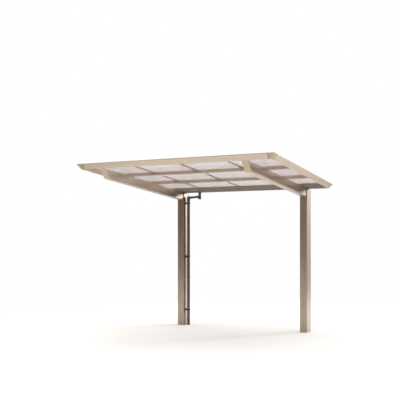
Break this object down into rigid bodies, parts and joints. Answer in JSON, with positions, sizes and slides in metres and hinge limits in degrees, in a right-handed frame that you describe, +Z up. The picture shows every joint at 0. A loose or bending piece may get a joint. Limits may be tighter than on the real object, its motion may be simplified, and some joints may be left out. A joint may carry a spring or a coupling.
{
  "type": "cantilevered cycle carport",
  "caption": "Open cycle carport: back posts carry arms under a gently sloping clear-sheet roof in a flared aluminium frame, with gutter and downpipe.",
  "frame": {"origin": "middle of the left post's foot at ground level", "axes": "+X along the front edge from the left post to the right post, +Y from the open front to the back, +Z up"},
  "size_m": [2.34, 1.9618, 1.9627],
  "materials": {
    "anodised_aluminium": "champagne anodised extrusion, satin",
    "moulded_trim": "moulded trim in the frame's colour",
    "nose_trim": "cast cover in the frame's colour",
    "polycarbonate_sheet": "smooth clear sheet with a faint haze",
    "rainwater_plastic": "dark brown rainwater pipe",
    "clamp_plastic": "dark moulded clamp",
    "stainless_steel": "stainless steel bolts and screws, which are left to the visual model",
    "epdm_rubber": "black rubber seals, which are left to the visual model"
  },
  "bodies": {
    "root": {"beam_bracket_left": "anodised_aluminium", "beam_bracket_right": "anodised_aluminium", "beam_left": "anodised_aluminium", "beam_nose_left": "nose_trim", "beam_nose_right": "nose_trim", "beam_right": "anodised_aluminium", "branch_pipe": "rainwater_plastic", "cap_strip_1": "anodised_aluminium", "cap_strip_2": "anodised_aluminium", "cap_strip_3": "anodised_aluminium", "corner_front_left": "moulded_trim", "corner_front_right": "moulded_trim", "corner_rear_left": "moulded_trim", "corner_rear_right": "moulded_trim", "downpipe": "rainwater_plastic", "downpipe_head": "rainwater_plastic", "front_frame": "anodised_aluminium", "glazing_bar_1": "anodised_aluminium", "glazing_bar_2": "anodised_aluminium", "glazing_bar_3": "anodised_aluminium", "gutter": "anodised_aluminium", "gutter_outlet": "rainwater_plastic", "outlet_cap": "rainwater_plastic", "pipe_clamp_1": "clamp_plastic", "pipe_clamp_2": "clamp_plastic", "pipe_clamp_3": "clamp_plastic", "post_cap_left": "moulded_trim", "post_cap_right": "moulded_trim", "post_left": "anodised_aluminium", "post_right": "anodised_aluminium", "purlin_front": "anodised_aluminium", "purlin_rear": "anodised_aluminium", "roof_sheet_1": "polycarbonate_sheet", "roof_sheet_2": "polycarbonate_sheet", "roof_sheet_3": "polycarbonate_sheet", "roof_sheet_4": "polycarbonate_sheet", "side_frame_left": "anodised_aluminium", "side_frame_right": "anodised_aluminium"}
  },
  "joints": []
}
